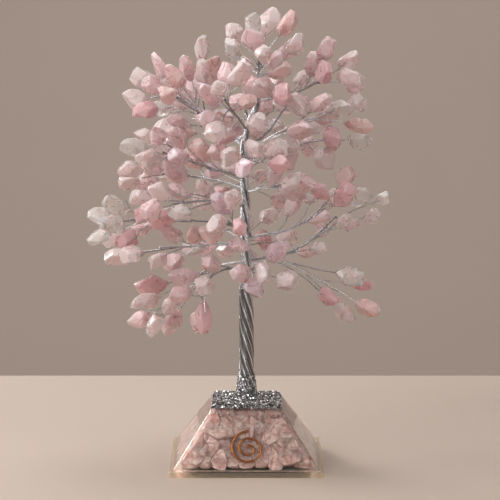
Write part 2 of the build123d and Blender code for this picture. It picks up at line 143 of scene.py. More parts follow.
class Shader:
    """A material under construction, with short ways to add and link its nodes."""

    def __init__(self, name: str) -> None:
        """Starts a material with a plain surface shader.

        Args:
            name: The material's name.
        """
        self.material = bpy.data.materials.new(name)
        self.material.use_nodes = True
        self.nodes = self.material.node_tree.nodes
        self.surface = self.nodes["Principled BSDF"]

    def add(self, kind: str, **settings: object) -> bpy.types.Node:
        """Adds a node.

        Args:
            kind: The node's type.
            settings: Attributes to set on it.

        Returns:
            The node.
        """
        node = self.nodes.new(kind)
        for key, value in settings.items():
            setattr(node, key, value)
        return node

    def link(self, source: bpy.types.NodeSocket, target: bpy.types.NodeSocket) -> None:
        """Links one socket to another."""
        self.material.node_tree.links.new(source, target)

    def set(self, **values: object) -> None:
        """Sets the surface's own sockets, named with _ for each space."""
        for key, value in values.items():
            self.surface.inputs[key.replace("_", " ")].default_value = value

    def noise(self, scale: float, detail: float = 3.0, distortion: float = 0.0) -> bpy.types.Node:
        """A noise pattern on the piece's own coordinates.

        Args:
            scale: Waves per metre.
            detail: Octaves.
            distortion: How far the pattern swirls.

        Returns:
            The noise node.
        """
        coordinates = self.add("ShaderNodeTexCoord")
        pattern = self.add("ShaderNodeTexNoise")
        self.link(coordinates.outputs["Object"], pattern.inputs["Vector"])
        pattern.inputs["Scale"].default_value = scale
        pattern.inputs["Detail"].default_value = detail
        pattern.inputs["Distortion"].default_value = distortion
        return pattern

    def ramp(self, source: bpy.types.NodeSocket, low: float, high: float, start: float, end: float) -> bpy.types.Node:
        """Maps a value from one span to another.

        Args:
            source: The value's socket.
            low: The span's lower end.
            high: The span's upper end.
            start: What the lower end becomes.
            end: What the upper end becomes.

        Returns:
            The map node.
        """
        node = self.add("ShaderNodeMapRange")
        self.link(source, node.inputs["Value"])
        for key, value in (("From Min", low), ("From Max", high), ("To Min", start), ("To Max", end)):
            node.inputs[key].default_value = value
        return node


@dataclass(frozen=True)
class QuartzFinish:
    """Tumbled rose quartz: cloudy veils and a few pale cracks in a milky, polished stone."""

    name: str
    coat: float
    shine: float
    veil_reach: float
    veil_scale: float = 95.0
    crack_scale: float = 120.0
    flush: tuple[float, float, float, float] = srgb(240, 200, 204)
    flush_reach: float = 0.3
    roughness: float = 0.3

    def material(self) -> bpy.types.Material:
        """The finish as a material that reads each chip's tone."""
        shader = Shader(self.name)
        tone = shader.add("ShaderNodeAttribute", attribute_name="tint")
        veil = shader.ramp(shader.noise(self.veil_scale, 1.5, 0.6).outputs["Fac"], 0.42, 0.7, 0.0, self.veil_reach)
        milky = shader.add("ShaderNodeMix", data_type="RGBA")
        milky.inputs[7].default_value = srgb(252, 240, 236)
        shader.link(veil.outputs["Result"], milky.inputs[0])
        shader.link(tone.outputs["Color"], milky.inputs[6])
        crack = shader.noise(self.crack_scale, 1.0, 1.6)
        flush = shader.ramp(crack.outputs["Fac"], 0.3, 0.55, self.flush_reach, 0.0)
        deep = shader.add("ShaderNodeMix", data_type="RGBA", blend_type="MULTIPLY")
        deep.inputs[7].default_value = self.flush
        shader.link(flush.outputs["Result"], deep.inputs[0])
        shader.link(milky.outputs[2], deep.inputs[6])
        shader.link(deep.outputs[2], shader.surface.inputs["Base Color"])
        gloss = shader.ramp(crack.outputs["Fac"], 0.35, 0.65, self.roughness * 0.7, self.roughness * 1.6)
        shader.link(gloss.outputs["Result"], shader.surface.inputs["Roughness"])
        shader.link(tone.outputs["Alpha"], shader.surface.inputs["Transmission Weight"])
        shader.set(IOR=1.4, Subsurface_Weight=0.5, Subsurface_Scale=0.005, Coat_Weight=self.coat, Coat_Roughness=0.06)
        shader.surface.inputs["Specular IOR Level"].default_value = self.shine
        shader.surface.inputs["Subsurface Radius"].default_value = (1.0, 0.7, 0.7)
        return shader.material


@dataclass(frozen=True)
class WireFinish:
    """Bright drawn wire: bare metal with faint draw marks, and painted shade that darkens wires lying in shade inside a
    rope.
    """

    name: str
    colour: tuple[float, float, float, float]
    dull: tuple[float, float, float, float]
    roughness: float
    # The colour that painted shade darkens the wire towards.
    shade: tuple[float, float, float, float] = srgb(70, 68, 68)

    def material(self) -> bpy.types.Material:
        """The finish as a material."""
        shader = Shader(self.name)
        marks = shader.noise(900.0, 2.0)
        tone = shader.add("ShaderNodeMix", data_type="RGBA")
        tone.inputs[6].default_value = self.colour
        tone.inputs[7].default_value = self.dull
        fade = shader.ramp(marks.outputs["Fac"], 0.35, 0.7, 0.0, 1.0)
        shader.link(fade.outputs["Result"], tone.inputs[0])
        # Painted shade: each line's share darkens the wire's colour towards the shade colour.
        painted_shade = shader.add("ShaderNodeAttribute", attribute_name="painted_shade")
        shade = shader.add("ShaderNodeMix", data_type="RGBA", blend_type="MULTIPLY")
        shade.inputs[7].default_value = self.shade
        shader.link(painted_shade.outputs["Fac"], shade.inputs[0])
        shader.link(tone.outputs[2], shade.inputs[6])
        shader.link(shade.outputs[2], shader.surface.inputs["Base Color"])
        gloss = shader.ramp(marks.outputs["Fac"], 0.3, 0.7, self.roughness * 0.7, self.roughness * 1.4)
        shader.link(gloss.outputs["Result"], shader.surface.inputs["Roughness"])
        shader.set(Metallic=1.0)
        return shader.material


@dataclass(frozen=True)
class ResinFinish:
    """Cast resin with a faint warm tint, clear or with a diffuse share, that lets the lamps through to what is cast in
    it. On the slab the diffuse beige share is painted light: it stands in for light piped through the clear slab.
    """

    name: str
    colour: tuple[float, float, float, float]
    clearness: float
    roughness: float

    def material(self) -> bpy.types.Material:
        """The finish as a material."""
        shader = Shader(self.name)
        shader.set(Base_Color=self.colour, Transmission_Weight=self.clearness, IOR=1.5)
        smear = shader.noise(60.0, 3.0)
        gloss = shader.ramp(smear.outputs["Fac"], 0.4, 0.75, self.roughness * 0.4, self.roughness * 2.0)
        shader.link(gloss.outputs["Result"], shader.surface.inputs["Roughness"])
        path = shader.add("ShaderNodeLightPath")
        open_way = shader.add("ShaderNodeBsdfTransparent")
        open_way.inputs["Color"].default_value = srgb(248, 246, 240)
        mix = shader.add("ShaderNodeMixShader")
        shader.link(path.outputs["Is Shadow Ray"], mix.inputs[0])
        shader.link(shader.surface.outputs[0], mix.inputs[1])
        shader.link(open_way.outputs[0], mix.inputs[2])
        shader.link(mix.outputs[0], shader.nodes["Material Output"].inputs["Surface"])
        return shader.material


@dataclass(frozen=True)
class GlitterFinish:
    """Silver flake: tiny mirrors of slightly different brightness."""

    bed_roughness: float = 0.7
    flake_roughness: float = 0.2

    def material(self) -> bpy.types.Material:
        """The finish as a material that reads each flake's brightness, with none for the dull bed below them."""
        shader = Shader("silver_glitter")
        shine = shader.add("ShaderNodeAttribute", attribute_name="shine")
        tone = shader.add("ShaderNodeMix", data_type="RGBA")
        tone.inputs[6].default_value = srgb(62, 60, 60)
        tone.inputs[7].default_value = srgb(250, 250, 250)
        shader.link(shine.outputs["Fac"], tone.inputs[0])
        shader.link(tone.outputs[2], shader.surface.inputs["Base Color"])
        gloss = shader.ramp(shine.outputs["Fac"], 0.0, 0.08, self.bed_roughness, self.flake_roughness)
        shader.link(gloss.outputs["Result"], shader.surface.inputs["Roughness"])
        shader.set(Metallic=0.85)
        return shader.material


@dataclass
class Island:
    """One closed solid of a node's mesh."""

    points: np.ndarray
    faces: np.ndarray

    @property
    def edges(self) -> np.ndarray:
        """The solid's edges, as pairs of point numbers."""
        pairs = np.sort(np.vstack([self.faces[:, [0, 1]], self.faces[:, [1, 2]], self.faces[:, [2, 0]]]), axis=1)
        return np.unique(pairs, axis=0)

    @property
    def middle(self) -> np.ndarray:
        """The middle of the solid's box."""
        return (self.points.min(axis=0) + self.points.max(axis=0)) / 2


def islands_of(node: str) -> list[Island]:
    """The solids of a node, in the node's own order.

    Args:
        node: The node's name.

    Returns:
        One island for each solid.
    """
    mesh = frame["nodes"][node].data
    raw = np.empty(len(mesh.vertices) * 3)
    mesh.vertices.foreach_get("co", raw)
    mesh.calc_loop_triangles()
    corners = np.empty(len(mesh.loop_triangles) * 3, dtype=np.int64)
    mesh.loop_triangles.foreach_get("vertices", corners)
    raw = raw.reshape(-1, 3)
    _, first, merged = np.unique(np.round(raw / (MM * MM)).astype(np.int64), axis=0, return_index=True, return_inverse=True)
    order = np.argsort(first)
    rank = np.empty_like(order)
    rank[order] = np.arange(len(order))
    points = raw[first[order]]
    faces = rank[merged.ravel()][corners].reshape(-1, 3)
    labels = np.arange(len(points))
    while True:
        before = labels.copy()
        lowest = labels[faces].min(axis=1)
        np.minimum.at(labels, faces.ravel(), np.repeat(lowest, 3))
        labels = labels[labels]
        if (labels == before).all():
            break
    found = []
    for label in np.unique(labels):
        chosen = np.flatnonzero(labels == label)
        local = np.full(len(points), -1)
        local[chosen] = np.arange(len(chosen))
        found.append(Island(points[chosen], local[faces[labels[faces[:, 0]] == label]]))
    return found


def ring_means(points: np.ndarray, line: np.ndarray, step: float) -> np.ndarray:
    """The means of a tube's points, a step at a time along a rough line.

    Args:
        points: The tube's surface points.
        line: A rough line through the tube.
        step: How long each stretch is.

    Returns:
        The tube's centre line.
    """
    starts, runs = line[:-1], np.diff(line, axis=0)
    lengths = np.linalg.norm(runs, axis=1)
    shares = np.clip(((points[:, None] - starts) * runs).sum(axis=2) / lengths ** 2, 0, 1)
    apart = np.linalg.norm(points[:, None] - (starts + shares[..., None] * runs), axis=2)
    best = apart.argmin(axis=1)
    ways = np.concatenate([[0], np.cumsum(lengths)])[best] + shares[np.arange(len(points)), best] * lengths[best]
    stretch = np.floor(ways / step + 0.5).astype(int)
    return np.array([points[stretch == index].mean(axis=0) for index in np.unique(stretch)])


def eased(line: np.ndarray, rounds: int) -> np.ndarray:
    """A line with its small kinks taken out.

    Args:
        line: Its points.
        rounds: How often each point moves half way to the middle of its neighbours.

    Returns:
        The line.
    """
    for _ in range(rounds):
        line = np.vstack([line[:1], (line[:-2] + 2 * line[1:-1] + line[2:]) / 4, line[-1:]])
    return line


def tube_line(tube: Island, start: np.ndarray, step: float) -> np.ndarray:
    """The centre line of a bent tube.

    Args:
        tube: The tube's solid.
        start: A place near the end where the line begins.
        step: How far apart its points are at least.

    Returns:
        The line's points.
    """
    near: list[list[tuple[int, float]]] = [[] for _ in tube.points]
    for one, other in tube.edges:
        length = float(np.linalg.norm(tube.points[one] - tube.points[other]))
        near[one].append((other, length))
        near[other].append((one, length))
    ways = np.full(len(tube.points), np.inf)
    seed = int(np.linalg.norm(tube.points - start, axis=1).argmin())
    ways[seed] = 0.0
    queue = [(0.0, seed)]
    while queue:
        way, index = heapq.heappop(queue)
        if way > ways[index]:
            continue
        for other, length in near[index]:
            if way + length < ways[other]:
                ways[other] = way + length
                heapq.heappush(queue, (way + length, other))
    stretch = np.floor(ways / (2 * step)).astype(int)
    rough = np.array([tube.points[stretch == index].mean(axis=0) for index in np.unique(stretch)])
    return ring_means(tube.points, rough, step)


@dataclass
class NodeTree:
    """A Geometry Nodes tree under construction."""

    name: str
    sockets: dict[str, str] = field(default_factory=dict)

    def __post_init__(self) -> None:
        """Starts the tree with a geometry input and output."""
        self.tree = bpy.data.node_groups.new(self.name, "GeometryNodeTree")
        self.tree.interface.new_socket("Geometry", in_out="INPUT", socket_type="NodeSocketGeometry")
        self.tree.interface.new_socket("Geometry", in_out="OUTPUT", socket_type="NodeSocketGeometry")
        self.inside = self.tree.nodes.new("NodeGroupInput")
        self.outside = self.tree.nodes.new("NodeGroupOutput")

    def size(self, name: str, kind: str) -> bpy.types.NodeSocket:
        """Adds a named input.

        Args:
            name: The input's name.
            kind: Float, Int or Material.

        Returns:
            The socket that gives its value inside the tree.
        """
        socket = self.tree.interface.new_socket(name, in_out="INPUT", socket_type=f"NodeSocket{kind}")
        self.sockets[name] = socket.identifier
        return self.inside.outputs[name]

    def add(self, kind: str, inputs: dict[str | int, object] | None = None, **settings: object) -> bpy.types.Node:
        """Adds a node, and links or sets its inputs.

        Args:
            kind: The node's type.
            inputs: A socket to link or a value to set, by input name or number.
            settings: Attributes to set on the node.

        Returns:
            The node.
        """
        node = self.tree.nodes.new(kind)
        for key, value in settings.items():
            setattr(node, key, value)
        for key, value in (inputs or {}).items():
            if isinstance(value, bpy.types.NodeSocket):
                self.tree.links.new(value, node.inputs[key])
            else:
                node.inputs[key].default_value = value
        return node

    def math(self, operation: str, one: object, other: object = 0.0) -> bpy.types.NodeSocket:
        """A sum of one or two numbers."""
        return self.add("ShaderNodeMath", {0: one, 1: other}, operation=operation).outputs[0]

    def vector(self, operation: str, one: object, other: object) -> bpy.types.NodeSocket:
        """A sum of two vectors, or a vector scaled by a number."""
        key = "Scale" if operation == "SCALE" else 1
        return self.add("ShaderNodeVectorMath", {0: one, key: other}, operation=operation).outputs[0]

    def attribute(self, name: str, kind: str = "FLOAT") -> bpy.types.NodeSocket:
        """A named attribute of the geometry."""
        return self.add("GeometryNodeInputNamedAttribute", {"Name": name}, data_type=kind).outputs["Attribute"]

    def chance(self, kind: str, low: object, high: object, seed: int) -> bpy.types.NodeSocket:
        """A random number or vector for each element.

        Args:
            kind: FLOAT or FLOAT_VECTOR.
            low: The least value.
            high: The greatest value.
            seed: The seed.

        Returns:
            The value's socket.
        """
        first = 0 if kind == "FLOAT_VECTOR" else 2
        inputs = {first: low, first + 1: high, "Seed": seed}
        node = self.add("FunctionNodeRandomValue", inputs, data_type=kind)
        return node.outputs[0 if kind == "FLOAT_VECTOR" else 1]

    def close(self, geometry: bpy.types.NodeSocket, finish: bpy.types.NodeSocket) -> None:
        """Ends the tree: smooth, real geometry with its material."""
        real = self.add("GeometryNodeRealizeInstances", {0: geometry}).outputs[0]
        smooth = self.add("GeometryNodeSetShadeSmooth", {"Geometry": real}).outputs[0]
        dressed = self.add("GeometryNodeSetMaterial", {"Geometry": smooth, "Material": finish}).outputs[0]
        self.tree.links.new(dressed, self.outside.inputs[0])

    def run(self, name: str, mesh: bpy.types.Mesh, values: dict[str, object]) -> bpy.types.Object:
        """Runs the tree on a mesh.

        Args:
            name: The new piece's name.
            mesh: The mesh to work on.
            values: The tree's inputs, by name.

        Returns:
            A piece with the result as a plain mesh.
        """
        work = bpy.data.objects.new(name + "_work", mesh)
        bpy.context.scene.collection.objects.link(work)
        modifier = work.modifiers.new("nodes", "NODES")
        modifier.node_group = self.tree
        for key, value in values.items():
            modifier[self.sockets[key]] = value
        graph = bpy.context.evaluated_depsgraph_get()
        made = bpy.data.meshes.new_from_object(work.evaluated_get(graph), depsgraph=graph)
        work.modifiers.remove(modifier)
        bpy.data.objects.remove(work)
        bpy.data.meshes.remove(mesh)
        return new_piece(name, made)


def new_piece(name: str, mesh: bpy.types.Mesh) -> bpy.types.Object:
    """Puts a mesh into the scene as a piece.

    Args:
        name: The piece's name.
        mesh: Its mesh.

    Returns:
        The piece.
    """
    mesh.name = name
    piece = bpy.data.objects.new(name, mesh)
    bpy.context.scene.collection.objects.link(piece)
    return piece


def settle_piece(piece: bpy.types.Object, body: str, slot: str, *nodes: str) -> bpy.types.Object:
    """Ties a piece to its body and hides the nodes that it stands for.

    Args:
        piece: The piece.
        body: The body that it moves with.
        slot: Not used.
        nodes: The nodes that it replaces.

    Returns:
        The piece.
    """
    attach(piece, body)
    if nodes:
        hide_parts(*nodes)
    log.info("%s rides on %s: %d faces", piece.name, body, len(piece.data.polygons))
    return piece


def laid_wire() -> NodeTree:
    """The tree that lays bundles of wire round each line of a mesh, and strands round each bundle's own line. Each
    line's points give the numbers of both, the rings that they lie on, the lengths of one turn and the strands' radius.
    """
    tree = NodeTree("laid_wire")
    step, sides, finish = tree.size("Step", "Float"), tree.size("Sides", "Int"), tree.size("Finish", "Material")
    curve = tree.add("GeometryNodeMeshToCurve", {"Mesh": tree.inside.outputs[0]}).outputs[0]
    laid = tree.add("GeometryNodeResampleCurve", {"Curve": curve, "Length": step}, mode="LENGTH").outputs[0]
    for level in LAID_LEVELS:
        count = tree.attribute(level, "INT")
        copies = tree.add("GeometryNodeDuplicateElements", {"Geometry": laid, "Amount": count}, domain="SPLINE")
        way = tree.add("GeometryNodeSplineParameter").outputs["Length"]
        turns = tree.math("DIVIDE", way, tree.attribute(f"{level}_lay"))
        share = tree.math("DIVIDE", copies.outputs["Duplicate Index"], count)
        angle = tree.math("MULTIPLY", tree.math("ADD", turns, share), tau)
        normal = tree.add("GeometryNodeInputNormal").outputs["Normal"]
        tangent = tree.add("GeometryNodeInputTangent").outputs[0]
        across = tree.vector("CROSS_PRODUCT", tangent, normal)
        out = tree.vector("ADD", tree.vector("SCALE", normal, tree.math("COSINE", angle)),
                          tree.vector("SCALE", across, tree.math("SINE", angle)))
        offset = tree.vector("SCALE", out, tree.attribute(f"{level}_ring"))
        laid = tree.add("GeometryNodeSetPosition", {"Geometry": copies.outputs[0], "Offset": offset}).outputs[0]
    profile = tree.add("GeometryNodeCurvePrimitiveCircle", {"Resolution": sides, "Radius": 1.0}).outputs[0]
    inputs = {"Curve": laid, "Profile Curve": profile, "Scale": tree.attribute("gauge"), "Fill Caps": True}
    tree.close(tree.add("GeometryNodeCurveToMesh", inputs).outputs[0], finish)
    return tree


@dataclass(frozen=True)
class Lay:
    """How many wires go round a line, on what ring (one radius, or one for each point) and how long a turn is. A turn
    below zero goes to the left."""

    count: int = 1
    ring: float | np.ndarray = 0.0
    turn: float = 1.0


@dataclass
class WireLines:
    """Lines to lay wire along, with the bundles, strands and wire radius at each of their points."""

    points: list[np.ndarray] = field(default_factory=list)
    edges: list[tuple[int, int]] = field(default_factory=list)
    values: dict[str, list[np.ndarray]] = field(default_factory=dict)

    def add(self, line: np.ndarray, gauge: float | np.ndarray, strands: Lay = Lay(), bundles: Lay = Lay(),
            painted_shade: float = 0.0) -> None:
        """Adds a line.

        Args:
            line: Its points.
            gauge: The wires' own radius, one or one for each point.
            strands: The wires of a bundle.
            bundles: The bundles that go round the line.
            painted_shade: Painted shade on the wires, 0 to 1: how far their colour is darkened to stand in for shade.
        """
        first = sum(len(part) for part in self.points)
        self.points.append(np.asarray(line))
        self.edges.extend((first + index, first + index + 1) for index in range(len(line) - 1))
        columns = {"gauge": gauge, "painted_shade": painted_shade}
        for level, lay in zip(LAID_LEVELS, (bundles, strands)):
            columns |= {level: lay.count, f"{level}_ring": lay.ring, f"{level}_lay": lay.turn}
        for key, value in columns.items():
            self.values.setdefault(key, []).append(np.broadcast_to(value, len(line)))

    def mesh(self, name: str) -> bpy.types.Mesh:
        """The lines as a mesh of edges.

        Args:
            name: The mesh's name.

        Returns:
            The mesh.
        """
        made = bpy.data.meshes.new(name + "_lines")
        made.from_pydata(np.vstack(self.points).tolist(), self.edges, [])
        for key, parts in self.values.items():
            kind = "INT" if key in LAID_LEVELS else "FLOAT"
            made.attributes.new(key, kind, "POINT").data.foreach_set("value", np.concatenate(parts))
        return made


def rounded(corners: np.ndarray, cut: float, steps: int = 5) -> np.ndarray:
    """A run of points with its corners rounded.

    Args:
        corners: The run's points.
        cut: How far from each corner its bend starts.
        steps: Points in each bend.

    Returns:
        The rounded run.
    """
    line = [corners[0]]
    for before, corner, after in zip(corners, corners[1:], corners[2:]):
        start = corner + unit(before - corner) * min(cut, np.linalg.norm(before - corner) / 2)
        end = corner + unit(after - corner) * min(cut, np.linalg.norm(after - corner) / 2)
        for share in np.linspace(0, 1, steps):
            line.append((1 - share) ** 2 * start + 2 * share * (1 - share) * corner + share ** 2 * end)
    line.append(corners[-1])
    return np.array(line)


@dataclass(frozen=True)
class Wear:
    """How chips differ from their plain stone: its growth, broken faces and splits, and how far the edges are worn."""

    growth: float
    breaks: int
    rounds: int
    splits: int = 0
    break_shares: tuple[float, float] = (0.55, 0.85)
    edge: float = 0.55 * MM
    least_side: float = 0.9 * MM
    flat: float = radians(7)


@dataclass(frozen=True)
class Wall:
    """A face that chips lie against: a place on it, its way out and how far short of it a chip may stop."""

    place: np.ndarray
    out: np.ndarray
    slack: float


def hull_form(points: list[np.ndarray], least_side: float) -> bmesh.types.BMesh:
    """The convex form round some points.

    Args:
        points: The points.
        least_side: How close points are merged.

    Returns:
        The closed form.
    """
    form = bmesh.new()
    for point in points:
        form.verts.new(point)
    bmesh.ops.remove_doubles(form, verts=form.verts, dist=least_side)
    hull = bmesh.ops.convex_hull(form, input=form.verts)
    spare = {item for key in ("geom_interior", "geom_unused") for item in hull[key]}
    bmesh.ops.delete(form, geom=[item for item in spare if isinstance(item, bmesh.types.BMVert)], context="VERTS")
    return form


def trimmed(points: list[np.ndarray], place: np.ndarray, out: np.ndarray) -> list[np.ndarray]:
    """Cuts the convex form round some points off at a plane.

    Args:
        points: The points.
        place: A place on the plane.
        out: The way to the part that goes.

    Returns:
        The corners of what is left.
    """
    form = hull_form(points, 0.0)
    geometry = [*form.verts, *form.edges, *form.faces]
    bmesh.ops.bisect_plane(form, geom=geometry, plane_co=place, plane_no=out, clear_outer=True)
    corners = [np.array(vert.co) for vert in form.verts]
    form.free()
    return corners


def shards_of(stone: Island, wear: Wear, walls: list[Wall], chance: np.random.Generator) -> list[list[np.ndarray]]:
    """Breaks a plain faceted stone: flat faces where it chipped, and splits right through it.

    Args:
        stone: The plain stone.
        wear: How far it is broken.
        walls: The faces that it lies against.
        chance: The source of the breaks.

    Returns:
        The corners of each shard.
    """
    corners = [stone.middle + (point - stone.middle) * wear.growth for point in stone.points]
    for _ in range(wear.breaks):
        out = unit(chance.normal(size=3))
        reach = max((corner - stone.middle) @ out for corner in corners)
        corners = trimmed(corners, stone.middle + out * reach * chance.uniform(*wear.break_shares), out)
    for wall in walls:
        corners = trimmed(corners, wall.place - wall.out * wall.slack * chance.random(), wall.out)
    shards = [corners]
    for _ in range(wear.splits):
        ways = [unit(chance.normal(size=3)) for _ in shards]
        halves = [(shard, np.mean(shard, axis=0), out * side) for shard, out in zip(shards, ways) for side in (1, -1)]
        shards = [trimmed(*half) for half in halves]
    return shards


def worn_form(corners: list[np.ndarray], wear: Wear) -> bmesh.types.BMesh:
    """A shard with its edges worn round.

    Args:
        corners: The shard's corners.
        wear: How far they are worn.

    Returns:
        The closed form.
    """
    form = hull_form(corners, wear.least_side)
    bmesh.ops.dissolve_limit(form, angle_limit=wear.flat, verts=form.verts, edges=form.edges)
    bmesh.ops.bevel(form, geom=form.edges[:], offset=wear.edge, segments=wear.rounds, profile=0.5, affect="EDGES",
                    clamp_overlap=True)
    bmesh.ops.recalc_face_normals(form, faces=form.faces)
    return form


def chip_mesh(name: str, stones: list[tuple[Island, list[Wall]]], tones: str, finish: bpy.types.Material,
              wear: Wear) -> bpy.types.Mesh:
    """Chips from plain faceted stones, with a tone for each.

    Args:
        name: The mesh's name.
        stones: The plain stones, each with the faces that its chip lies against.
        tones: A letter for each stone's tone, repeated as needed.
        finish: The stones' material.
        wear: How the chips differ from the stones.

    Returns:
        One mesh with all the chips.
    """
    chance = np.random.default_rng(crc32(name.encode()))
    shards = [shard for stone, walls in stones for shard in shards_of(stone, wear, walls, chance)]
    points, faces, tints = [], [], []
    for index, shard in enumerate(shards):
        form = worn_form(shard, wear)
        form.verts.index_update()
        first = len(points)
        points.extend(tuple(vert.co) for vert in form.verts)
        faces.extend([first + vert.index for vert in face.verts] for face in form.faces)
        tints.extend([Tone.of(tones[index % len(tones)]).tint] * len(form.verts))
        form.free()
    mesh = bpy.data.meshes.new(name)
    mesh.from_pydata(points, [], faces)
    mesh.attributes.new("tint", "FLOAT_COLOR", "POINT").data.foreach_set("color", np.ravel(tints))
    mesh.shade_smooth()
    mesh.set_sharp_from_angle(angle=radians(24))
    mesh.materials.append(finish)
    return mesh


@dataclass
class Twig:
    """One twisted pair of wire, from its stem to its stone, and the eye that it opens into."""

    line: np.ndarray
    eye: np.ndarray

    @classmethod
    def read(cls, solid: Island, stone: np.ndarray) -> "Twig":
        """Finds a twig's lines from its solid.

        Args:
            solid: The twig's solid.
            stone: The middle of its stone.

        Returns:
            The twig.
        """
        eye_gauge, knot = 0.25 * MM, 0.65 * MM
        far = solid.points[np.linalg.norm(solid.points - stone, axis=1).argmax()]
        start = solid.points[np.linalg.norm(solid.points - far, axis=1) < 0.9 * MM].mean(axis=0)
        ahead = unit(stone - start)
        rest = solid.points - stone
        along = rest @ ahead
        flat = rest - np.outer(along, ahead)
        near = along > -8.5 * MM
        hole = np.linalg.eigh(flat[near].T @ flat[near])[1][:, -1]
        side = rest @ hole
        half = np.abs(side[near]).max()
        level = along[near & (np.abs(side) > 0.8 * half)].max() - eye_gauge
        slim = (np.abs(side) < 0.3 * MM) & (along < level - 1.2 * MM)
        throat_level = along[slim].max() - knot
        throat = solid.points[(np.abs(along - throat_level) < 0.5 * MM) & (np.abs(side) < 1.1 * MM)].mean(axis=0)
        stalk = solid.points[along < throat_level - knot]
        line = np.vstack([ring_means(stalk, np.array([start, throat]), 1.5 * MM), throat])
        corner = hole * (half - eye_gauge)
        centre = stone + ahead * level
        feet = hole * 0.2 * MM
        run = np.array([throat + feet, centre + corner, centre - corner, throat - feet])
        return cls(line, rounded(run, 1.3 * MM))


def packed(radius: float | np.ndarray, count: int) -> tuple[float | np.ndarray, float | np.ndarray]:
    """Round wires that touch in a ring and fill a radius together.

    Args:
        radius: The radius to fill.
        count: The number of wires.

    Returns:
        The radius of their ring and of each wire.
    """
    share = 1 / (1 + sin(pi / count))
    return radius * share, radius * (1 - share)


@dataclass
class Leader:
    """The rope of wires above the trunk, and the places along it."""

    swell: float = 1.3
    heart_share: float = 0.45
    # The heart strand's painted shade: a darkened strand that stands in for the shade in the gaps between the bundles.
    heart_painted_shade: float = 0.6
    bundles: int = 3
    bundle_ring_share: float = 0.6
    bundle_turn: float = -52 * MM
    strands: int = 5
    strand_turn: float = -22 * MM

    def __post_init__(self) -> None:
        """Reads the leader's line and radii from its solid."""
        points = islands_of("leader")[0].points
        levels = np.unique(np.round(points[:, 2], 5))
        rings = [points[np.abs(points[:, 2] - level) < 0.05 * MM] for level in levels]
        self.line = np.array([ring.mean(axis=0) for ring in rings])
        self.radii = np.array([np.ptp(ring[:, 0]) / 2 for ring in rings])

    def nearest(self, place: np.ndarray) -> np.ndarray:
        """The point of the leader's line at a place's height, or its nearer end."""
        return np.array([np.interp(place[2], self.line[:, 2], self.line[:, axis]) for axis in range(3)])

    def build(self, wires: WireLines) -> None:
        """Adds the leader's strands to a set of lines."""
        line = rounded(self.line, 9 * MM, steps=7)
        radii = np.interp(line[:, 2], self.line[:, 2], self.radii) * self.swell
        # A dark heart strand: painted shade in the gaps between the bundles.
        wires.add(line, radii * self.heart_share, painted_shade=self.heart_painted_shade)
        ring, bundle = radii * self.bundle_ring_share, radii * (1 - self.bundle_ring_share)
        strand_ring, gauge = packed(bundle, self.strands)
        strands = Lay(self.strands, strand_ring, self.strand_turn)
        wires.add(line, gauge, strands, Lay(self.bundles, ring, self.bundle_turn))


@dataclass
class Spray:
    """One spray of the crown: a stem of gathered wire, its twigs and the chips that they carry."""

    name: str
    body: str
    tones: str
    stem_strands: int = 5
    stem_turn: float = 9 * MM
    stem_radii: tuple[float, float] = (0.85 * MM, 0.5 * MM)
    twig_turn: float = 3.4 * MM
    wire_radius: float = 0.21 * MM
    # Painted shade for the stem and each twig in turn: some darkened more than others to stand in for shade.
    painted_shades: tuple[float, ...] = (0.05, 0.45, 0.15, 0.55, 0.3)
    tuck: float = 1.6 * MM
    growth: float = 1.46

    def stem_line(self, solid: Island, leader: Leader) -> np.ndarray:
        """The stem's line, from inside what carries it to its tip.

        Args:
            solid: The stem's solid.
            leader: The leader, to tell which end is the root.

        Returns:
            The line's points.
        """
        apart = [np.linalg.norm((point - leader.nearest(point))[:2]) for point in solid.points]
        line = tube_line(solid, solid.points[int(np.argmin(apart))], 1.2 * MM)
        root = line[0] - unit(line[1] - line[0]) * self.tuck
        return np.vstack([root, line])

    def add_stem(self, wires: WireLines, line: np.ndarray) -> None:
        """Adds a stem's strands to a set of lines, thinning towards its tip."""
        ring, gauge = packed(np.linspace(*self.stem_radii, len(line)), self.stem_strands)
        wires.add(line, gauge, Lay(self.stem_strands, ring, self.stem_turn), painted_shade=self.painted_shades[len(line) % len(self.painted_shades)])

    def build(self, tree: NodeTree, leader: Leader, silver: bpy.types.Material, quartz: bpy.types.Material) -> None:
        """Makes the spray's wirework and its chips.

        Args:
            tree: The tree that lays wire.
            leader: The leader.
            silver: The wire's material.
            quartz: The chips' material.
        """
        stones = islands_of(f"{self.name}_stones")
        solids = islands_of(f"{self.name}_wires")
        middles = np.array([stone.middle for stone in stones])
        gaps = [[np.linalg.norm(solid.points - middle, axis=1).min() for middle in middles] for solid in solids]
        trunk = int(np.argmax([min(row) for row in gaps]))
        stem = self.stem_line(solids[trunk], leader)
        wires = WireLines()
        self.add_stem(wires, stem)
        for index, solid in enumerate(solids):
            if index == trunk:
                continue
            twig = Twig.read(solid, middles[int(np.argmin(gaps[index]))])
            fork = stem[np.linalg.norm(stem - twig.line[0], axis=1).argmin()]
            # Each twig takes its painted shade in turn.
            pair, painted_shade = Lay(2, self.wire_radius, self.twig_turn), self.painted_shades[index % len(self.painted_shades)]
            wires.add(np.vstack([fork, twig.line]), self.wire_radius, pair, painted_shade=painted_shade)
            wires.add(twig.eye, self.wire_radius, painted_shade=painted_shade)
        values = {"Step": 0.45 * MM, "Sides": 6, "Finish": silver}
        name = f"{self.name}_wirework"
        settle_piece(tree.run(name, wires.mesh(name), values), self.body, "silver_wire", f"{self.name}_wires")
        name = f"{self.name}_chips"
        wear = Wear(self.growth, breaks=5, rounds=1, break_shares=(0.52, 0.82), edge=0.4 * MM, least_side=1.6 * MM, flat=radians(18))
        mesh = chip_mesh(name, [(stone, []) for stone in stones], self.tones, quartz, wear)
        chips = new_piece(name, mesh)
        settle_piece(chips, self.body, "rose_quartz", f"{self.name}_stones")


